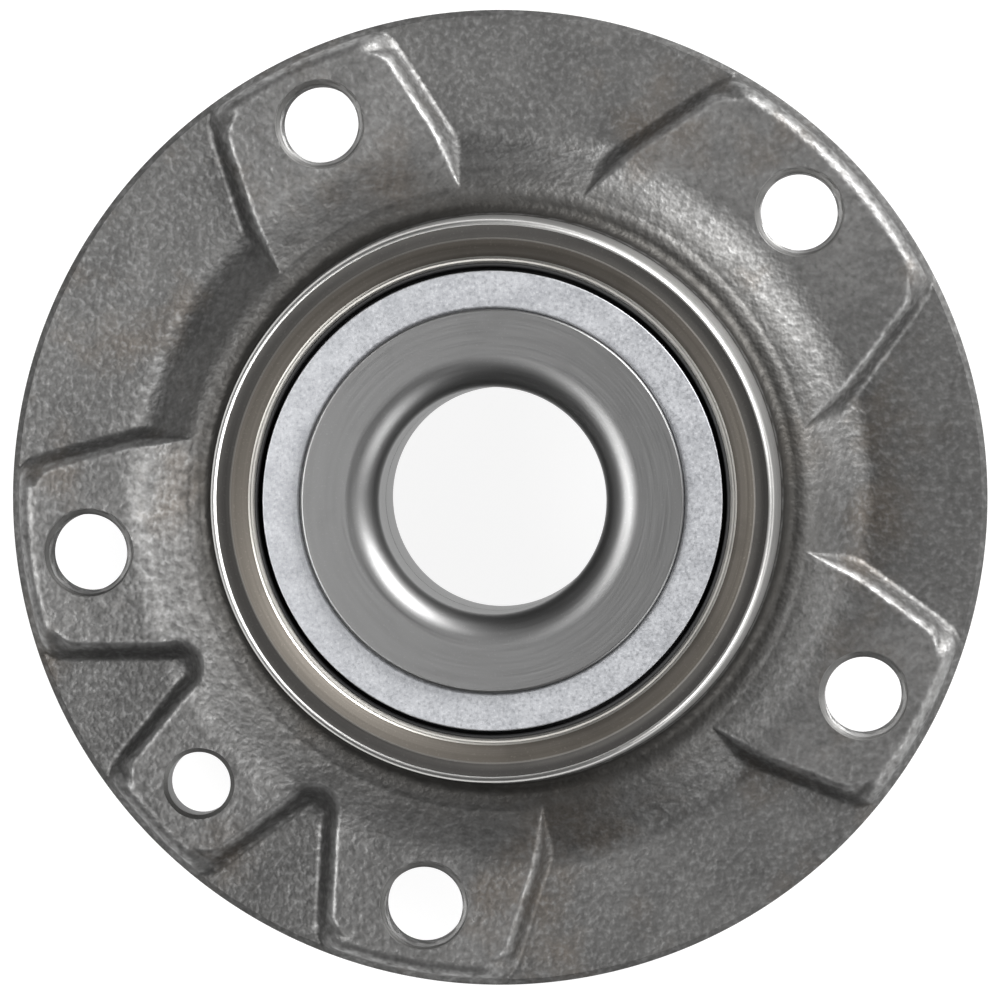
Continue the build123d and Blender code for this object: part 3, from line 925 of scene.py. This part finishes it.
def ball_material():
    """Polished bearing steel."""
    paint = Paint("ball steel", metallic=1.0, roughness=0.1)
    clouds = paint.noise(2.5)
    tint = paint.spread(clouds, 0.3, 0.7)
    paint.colour(paint.mix(tint, (0.60, 0.60, 0.61), (0.68, 0.68, 0.69)))
    paint.rough(paint.spread(clouds, 0.3, 0.7, 0.07, 0.14))
    return paint.material


# Camera, lamps, world and floor


def aim(thing, place, target, up):
    """Places a camera or a lamp so that it looks from one point to another."""
    back = (place - target).normalized()
    right = up.cross(back).normalized()
    above = back.cross(right)
    turn = Matrix((right, above, back)).transposed().to_4x4()
    thing.matrix_world = Matrix.Translation(place) @ turn


def add_camera():
    """Camera above the flange, a little off its axis to the right and up, as in the photograph."""
    pixel = 0.1356 * MM  # one pixel's width at the flange
    target = Vector((0.4 * pixel, -2.4 * pixel, 7 * MM))
    direction = Vector((0.0287, 0.013, 1.0)).normalized()
    distance = 1.281  # in metres
    data = bpy.data.cameras.new("camera")
    data.lens = 340.6
    data.sensor_width = 36.0
    data.clip_end = 20.0
    camera = link_object("camera", data)
    aim(camera, target + direction * distance, target, Vector((0, 1, 0)))
    bpy.context.scene.camera = camera


def add_lamp(name, azimuth, elevation, distance, size, power):
    """Square lamp that shines at the bearing, with its distance and size in metres."""
    data = bpy.data.lights.new(name, "AREA")
    data.size = size
    data.energy = power
    lamp = link_object(name, data)
    turn, rise = math.radians(azimuth), math.radians(elevation)
    level = math.cos(rise)
    direction = Vector((level * math.cos(turn), level * math.sin(turn), math.sin(rise)))
    aim(lamp, direction * distance, Vector((0, 0, 10 * MM)), Vector((0, 0, 1)))
    lamp.visible_camera = False


def add_world(zenith, horizon):
    """Plain surroundings, darker overhead than round the sides."""
    world = bpy.data.worlds.new("studio")
    bpy.context.scene.world = world
    world.use_nodes = True
    tree = world.node_tree
    place = tree.nodes.new("ShaderNodeTexCoord").outputs["Generated"]
    parts = tree.nodes.new("ShaderNodeSeparateXYZ")
    tree.links.new(place, parts.inputs[0])
    ramp = tree.nodes.new("ShaderNodeMapRange")
    tree.links.new(parts.outputs["Z"], ramp.inputs["Value"])
    limits = {"From Min": 0.1, "From Max": 0.9, "To Min": horizon, "To Max": zenith}
    for name, number in limits.items():
        ramp.inputs[name].default_value = number
    tree.links.new(ramp.outputs["Result"], tree.nodes["Background"].inputs["Strength"])


def add_floor(bounced, shadowed, glow):
    """Pale floor that keeps the shadow and is white where nothing stands on it.

    It throws light back at the bearing as a matt grey, bounced. Where it is seen, it glows, and only its
    darker grey, shadowed, takes the shadow.
    """
    half = 3.0  # in metres
    z = PILOT_END * MM - 0.1 * MM
    square = [(-half, -half, z), (half, -half, z), (half, half, z), (-half, half, z)]
    mesh = bpy.data.meshes.new("floor")
    mesh.from_pydata(square, [], [(0, 1, 2, 3)])
    floor = link_object("floor", mesh)
    material = bpy.data.materials.new("floor")
    material.use_nodes = True
    tree = material.node_tree
    tree.nodes.remove(tree.nodes["Principled BSDF"])
    path = tree.nodes.new("ShaderNodeLightPath")
    seen = path.outputs["Is Camera Ray"]
    for ray in ("Is Glossy Ray", "Is Transmission Ray"):
        either = tree.nodes.new("ShaderNodeMath")
        either.operation = "MAXIMUM"
        tree.links.new(seen, either.inputs[0])
        tree.links.new(path.outputs[ray], either.inputs[1])
        seen = either.outputs[0]
    greys = []
    for grey in (bounced, shadowed):
        matt = tree.nodes.new("ShaderNodeBsdfDiffuse")
        matt.inputs["Color"].default_value = (grey, grey, grey, 1)
        greys.append(matt.outputs[0])
    light = tree.nodes.new("ShaderNodeEmission")
    light.inputs["Strength"].default_value = glow
    bright = tree.nodes.new("ShaderNodeAddShader")
    tree.links.new(greys[1], bright.inputs[0])
    tree.links.new(light.outputs[0], bright.inputs[1])
    choice = tree.nodes.new("ShaderNodeMixShader")
    tree.links.new(seen, choice.inputs[0])
    tree.links.new(greys[0], choice.inputs[1])
    tree.links.new(bright.outputs[0], choice.inputs[2])
    tree.links.new(choice.outputs[0], tree.nodes["Material Output"].inputs["Surface"])
    mesh.materials.append(material)


# The hub's finishes, by their names in its section. Ground is for the rings and pressed for the seal cases
finishes = {
    "forged": forged_material(),
    "turned": turned_material(
        "turned end", (0.050, 0.048, 0.046), (0.075, 0.072, 0.068), 0.5, 0.16, 0.003),
    "bevel": turned_material(
        "turned bevel", (0.072, 0.065, 0.056), (0.115, 0.105, 0.093), 0.58, 0.2, 0.003, brushed=0.1),
    "bored": turned_material(
        "bored seat", (0.16, 0.155, 0.15), (0.24, 0.235, 0.23), 0.4, 0.18, 0.003),
    "faced": turned_material(
        "faced steel", (0.42, 0.415, 0.41), (0.52, 0.515, 0.51), 0.36, 0.22, 0.004),
    "rim": turned_material(
        "turned rim", (0.14, 0.138, 0.136), (0.20, 0.198, 0.195), 0.6, 0.3, 0.006, brushed=0.1),
    "raceway": turned_material(
        "ground raceway", (0.45, 0.45, 0.45), (0.55, 0.55, 0.55), 0.2, 0.1, 0.001),
    # the collar's round: a painted highlight on the same turned steel as its end
    "rounded": turned_material(
        "rounded edge highlight", (0.52, 0.515, 0.50), (0.64, 0.635, 0.62), 0.36, 0.2, 0.001, brushed=0.1),
    "drilled": turned_material(
        "drilled wall", (0.24, 0.238, 0.235), (0.32, 0.318, 0.315), 0.6, 0.3, 0.002, brushed=0.0),
    "chamfer": turned_material(
        "hole chamfer", (0.20, 0.198, 0.194), (0.26, 0.258, 0.252), 0.6, 0.3, 0.002, brushed=0.0),
    # the mouth and the bevel's edge: painted highlights on the same turned steel
    "mouth": turned_material(
        "bore mouth highlight", (0.42, 0.405, 0.375), (0.54, 0.525, 0.49), 0.42, 0.3, 0.002, brushed=0.1),
    "edge": turned_material(
        "turned edge highlight", (0.11, 0.104, 0.096), (0.15, 0.143, 0.133), 0.5, 0.2, 0.002),
    "side": turned_material(
        "collar side", (0.34, 0.337, 0.33), (0.44, 0.436, 0.428), 0.45, 0.3, 0.002, brushed=0.2),
}
ground = turned_material(
    "ground ring", (0.207, 0.207, 0.206), (0.22, 0.22, 0.219), 0.42, 0.12, 0.0002, brushed=0.0)
pressed = turned_material(
    "pressed steel", (0.44, 0.425, 0.40), (0.56, 0.545, 0.51), 0.42, 0.5, 0.002)

build_hub(finishes)
for number, angle in enumerate(BOLT_ANGLES, start=1):
    build_thread(number, angle, finishes["drilled"], finishes["chamfer"])
build_inner_rings(ground)
build_clip(ground)
build_seals(zinc_material(), pressed, rubber_material())

kept_finishes = {"cage_": cage_material(), "ball_": ball_material()}
for name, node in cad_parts.items():
    for start, material in kept_finishes.items():
        if name.startswith(start):
            node.data.materials.clear()
            node.data.materials.append(material)

add_floor(bounced=0.8, shadowed=0.22, glow=0.9)
add_world(zenith=0.42, horizon=0.85)
add_lamp("key", azimuth=42, elevation=31, distance=1.3, size=0.7, power=32)
add_lamp("fill", azimuth=185, elevation=58, distance=0.65, size=0.35, power=3.7)
add_lamp("low", azimuth=325, elevation=30, distance=1.3, size=0.7, power=8)
add_camera()
bpy.context.scene.view_settings.view_transform = "Standard"
